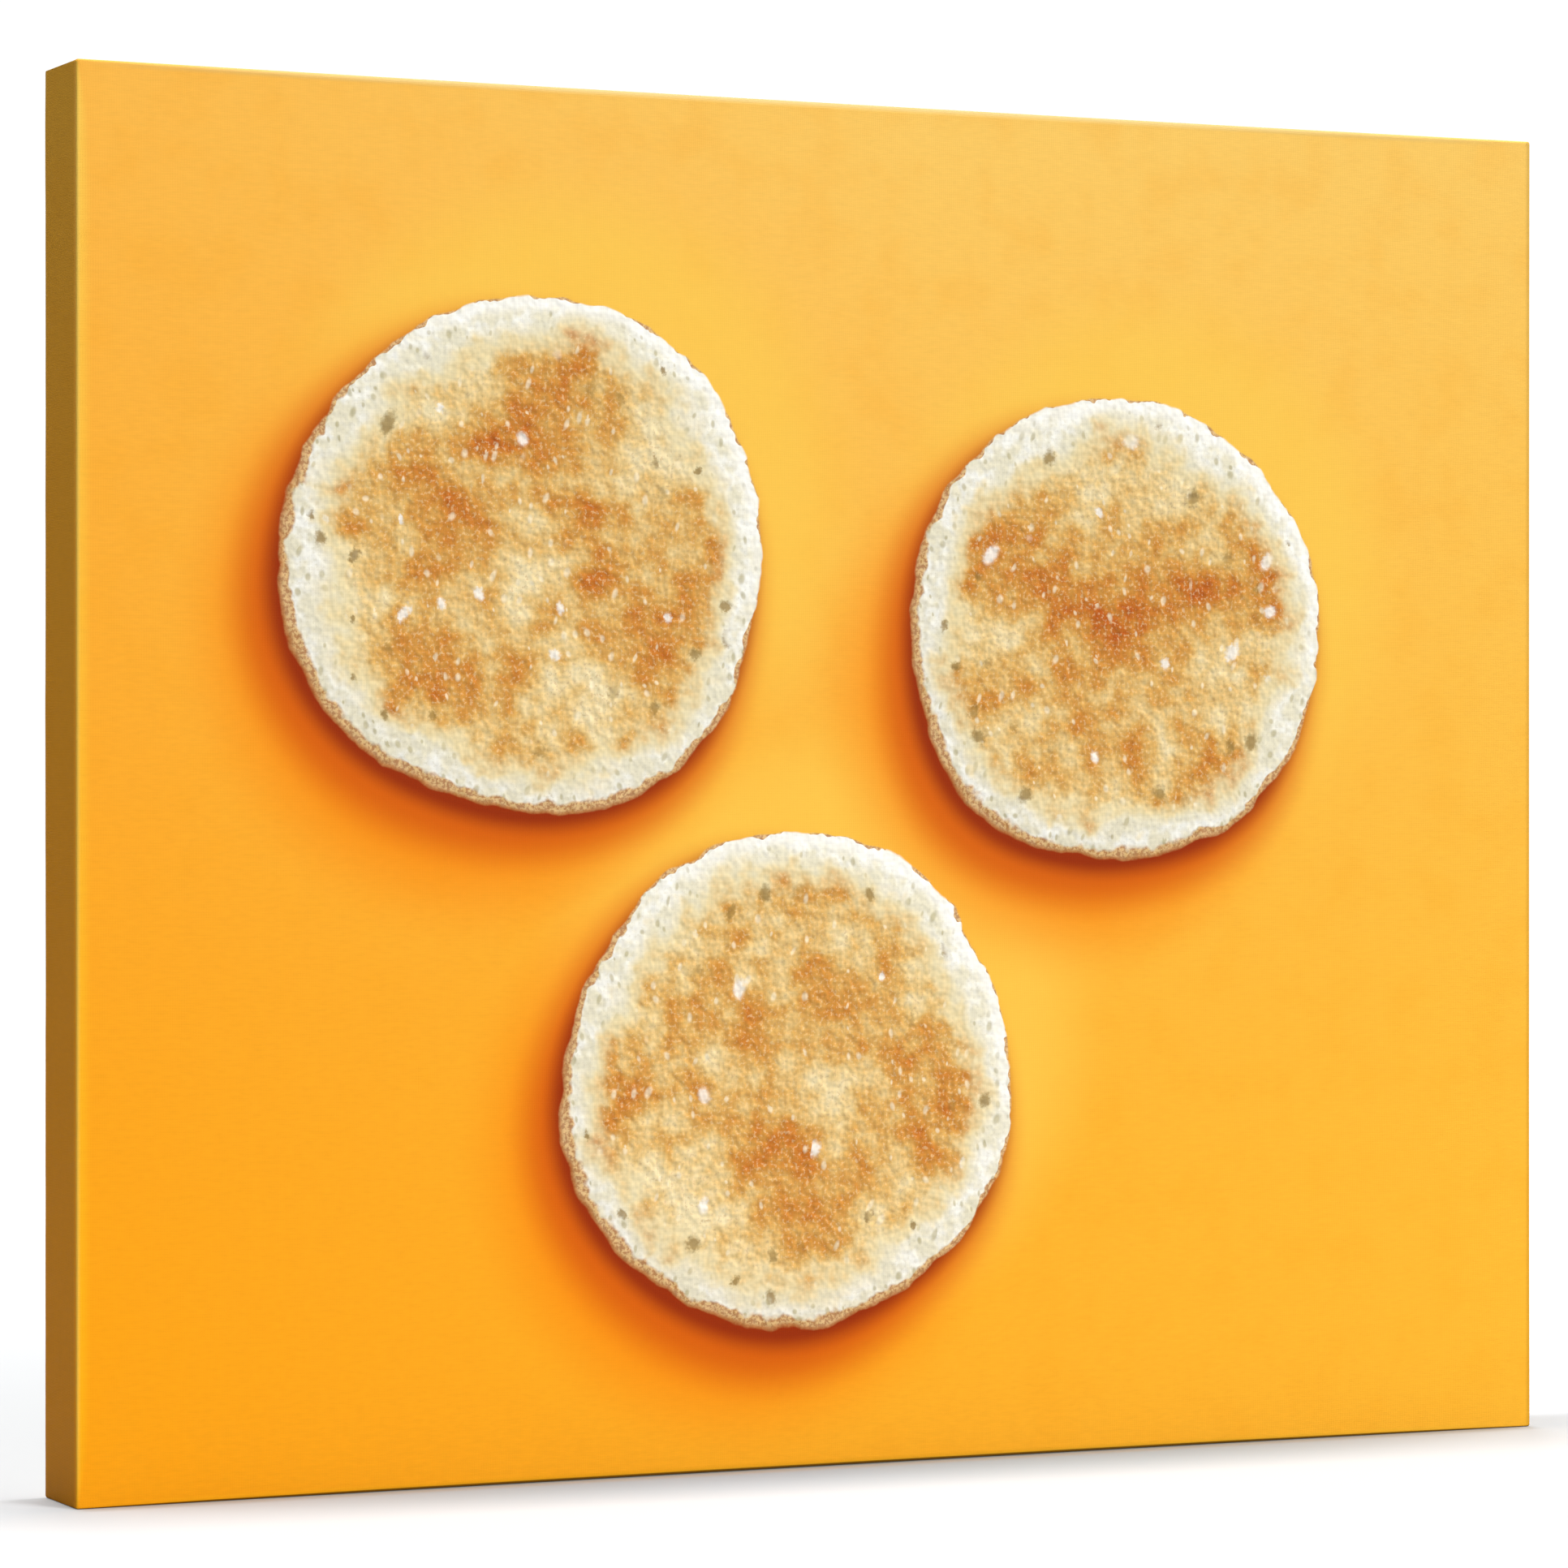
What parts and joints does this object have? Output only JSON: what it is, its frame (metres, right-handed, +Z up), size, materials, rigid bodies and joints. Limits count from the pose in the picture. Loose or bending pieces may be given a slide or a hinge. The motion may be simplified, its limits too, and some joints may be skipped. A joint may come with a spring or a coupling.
{
  "type": "stretched canvas print",
  "caption": "Gallery-wrapped canvas print on a mitred pine stretcher frame, printed round its sides, stapled at the back, with a toothed hanger.",
  "frame": {"origin": "under the middle of the whole box, in the plane of the bottom edge that the print stands on", "axes": "+X across the print to the viewer's right as seen from the front, +Y from the printed face to the back, +Z up"},
  "size_m": [0.61, 0.0406, 0.5175],
  "materials": {
    "printed_canvas": "satin inkjet print on cotton and polyester canvas, white at the back",
    "pine": "planed, bare",
    "steel": "zinc plated"
  },
  "bodies": {
    "root": {"canvas": "printed_canvas", "bar_top": "pine", "bar_bottom": "pine", "bar_left": "pine", "bar_right": "pine", "hanger": "steel", "nail_left": "steel", "nail_right": "steel", "staple_top_1": "steel", "staple_top_2": "steel", "staple_top_3": "steel", "staple_top_4": "steel", "staple_top_5": "steel", "staple_top_6": "steel", "staple_top_7": "steel", "staple_top_8": "steel", "staple_top_9": "steel", "staple_bottom_1": "steel", "staple_bottom_2": "steel", "staple_bottom_3": "steel", "staple_bottom_4": "steel", "staple_bottom_5": "steel", "staple_bottom_6": "steel", "staple_bottom_7": "steel", "staple_bottom_8": "steel", "staple_bottom_9": "steel", "staple_left_1": "steel", "staple_left_2": "steel", "staple_left_3": "steel", "staple_left_4": "steel", "staple_left_5": "steel", "staple_left_6": "steel", "staple_left_7": "steel", "staple_left_8": "steel", "staple_right_1": "steel", "staple_right_2": "steel", "staple_right_3": "steel", "staple_right_4": "steel", "staple_right_5": "steel", "staple_right_6": "steel", "staple_right_7": "steel", "staple_right_8": "steel"}
  },
  "joints": []
}
